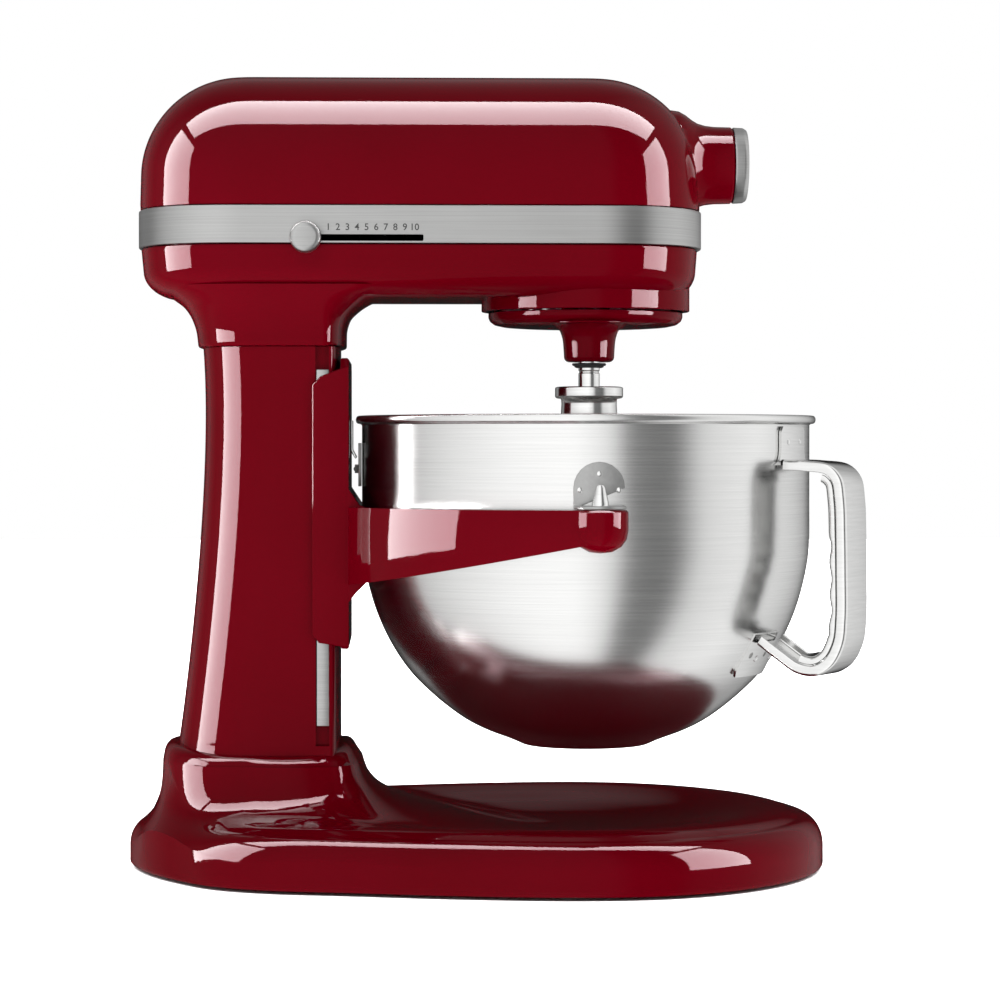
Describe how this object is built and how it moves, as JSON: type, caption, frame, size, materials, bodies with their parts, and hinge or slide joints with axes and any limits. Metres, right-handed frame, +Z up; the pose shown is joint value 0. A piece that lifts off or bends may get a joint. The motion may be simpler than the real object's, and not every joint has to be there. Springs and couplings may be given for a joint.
{
  "type": "stand mixer",
  "caption": "Bowl-lift stand mixer with a planetary drive, brushed trim band, sliding speed knob, lifting yoke and steel bowl with handle.",
  "frame": {"origin": "on the floor, in the symmetry plane, midway along the overall length", "axes": "+X to the front of the mixer, +Z up, +Y to the side with the lift lever"},
  "size_m": [0.3856, 0.2862, 0.4205],
  "materials": {
    "red_enamel": "deep glossy red enamel",
    "brushed_trim": "fine horizontal brushing",
    "bowl_steel": "spun stainless steel with fine rings",
    "polished_steel": "smooth satin steel",
    "cast_alloy": "matt cast alloy",
    "gear_steel": "machined steel",
    "rubber": "matt black rubber",
    "black_plastic": "satin black plastic",
    "bronze": "machined bronze",
    "copper": "copper windings and segments",
    "circuit_board": "green board with moulded parts",
    "beater_coating": "satin white coating"
  },
  "bodies": {
    "stand": {"base_casting": "red_enamel", "foot_1": "rubber", "foot_2": "rubber", "foot_3": "rubber", "foot_4": "rubber", "foot_5": "rubber", "column_casting": "red_enamel", "guide_rail_left": "brushed_trim", "guide_rail_right": "brushed_trim", "column_bolt_1": "gear_steel", "column_bolt_2": "gear_steel", "column_bolt_3": "gear_steel", "column_bolt_4": "gear_steel", "cord_gland": "rubber", "head_lower_housing": "red_enamel", "head_upper_cover": "red_enamel", "trim_band": "brushed_trim", "ring_gear": "gear_steel", "centre_bearing": "gear_steel", "hub_bearing": "bronze", "gear_bracket": "cast_alloy", "motor_stator": "gear_steel", "motor_bearing_front": "cast_alloy", "motor_bearing_rear": "cast_alloy", "brush_holder_left": "bronze", "brush_holder_right": "bronze", "control_board": "circuit_board"},
    "planetary": {"planetary_housing": "red_enamel", "seal_washer": "rubber", "centre_shaft": "gear_steel", "centre_gear": "gear_steel"},
    "agitator": {"agitator_shaft": "polished_steel", "planet_pinion": "gear_steel", "agitator_pin": "gear_steel", "beater_collar": "polished_steel", "flat_beater": "beater_coating"},
    "idler": {"idler_shaft": "gear_steel", "worm_wheel": "bronze"},
    "rotor": {"rotor_shaft": "polished_steel", "rotor_core": "copper", "commutator": "copper", "cooling_fan": "black_plastic"},
    "hub_drive": {"hub_drive_gear": "gear_steel"},
    "attachment_cap": {"hub_cap": "brushed_trim"},
    "attachment_knob": {"hub_knob": "black_plastic"},
    "speed_control": {"speed_lever": "gear_steel", "speed_knob": "brushed_trim"},
    "lift_handle": {"lift_shaft": "gear_steel", "lift_lever": "polished_steel", "lift_grip": "black_plastic"},
    "carriage": {"lift_yoke": "red_enamel", "yoke_pin_left": "polished_steel", "yoke_pin_right": "polished_steel", "spring_latch": "polished_steel", "bowl": "bowl_steel", "bowl_bracket_left": "cast_alloy", "bowl_bracket_right": "cast_alloy", "bowl_rear_bracket": "cast_alloy", "handle_outer": "polished_steel", "handle_inner": "polished_steel"}
  },
  "joints": [
    {"name": "planetary_spin", "type": "hinge", "parent": "stand", "child": "planetary", "pos_m": [0.0506, 0, 0.292], "axis": [0, 0, 1], "continuous": true},
    {"name": "agitator_spin", "type": "hinge", "parent": "planetary", "child": "agitator", "pos_m": [0.0506, -0.0336, 0.27], "axis": [0, 0, 1], "continuous": true},
    {"name": "idler_spin", "type": "hinge", "parent": "stand", "child": "idler", "pos_m": [0.01462, 0.0285, 0.34], "axis": [0, 0, 1], "continuous": true},
    {"name": "rotor_spin", "type": "hinge", "parent": "stand", "child": "rotor", "pos_m": [-0.0977, 0, 0.362], "axis": [1, 0, 0], "continuous": true},
    {"name": "hub_drive_spin", "type": "hinge", "parent": "stand", "child": "hub_drive", "pos_m": [0.0823, 0, 0.3745], "axis": [1, 0, 0], "continuous": true},
    {"name": "hub_cap_slide", "type": "slide", "parent": "stand", "child": "attachment_cap", "axis": [1, 0, 0], "range_m": [0, 0.035]},
    {"name": "hub_knob_turn", "type": "hinge", "parent": "stand", "child": "attachment_knob", "pos_m": [0.12, 0.03, 0.3745], "axis": [0, 1, 0], "range_deg": [0, 720]},
    {"name": "speed_lever_slide", "type": "slide", "parent": "stand", "child": "speed_control", "axis": [1, 0, 0], "range_m": [0, 0.0555]},
    {"name": "lift_lever_turn", "type": "hinge", "parent": "stand", "child": "lift_handle", "pos_m": [-0.1077, 0, 0.15], "axis": [0, -1, 0], "range_deg": [0, 100]},
    {"name": "carriage_slide", "type": "slide", "parent": "stand", "child": "carriage", "axis": [0, 0, -1], "range_m": [0, 0.03677]}
  ],
  "couplings": [
    {"joint": "agitator_spin", "follows": "planetary_spin", "ratio": -3.4},
    {"joint": "idler_spin", "follows": "planetary_spin", "ratio": -3},
    {"joint": "rotor_spin", "follows": "planetary_spin", "ratio": 30},
    {"joint": "hub_drive_spin", "follows": "planetary_spin", "ratio": 1},
    {"joint": "lift_lever_turn", "follows": "carriage_slide", "rad_per_m": 47.466}
  ]
}
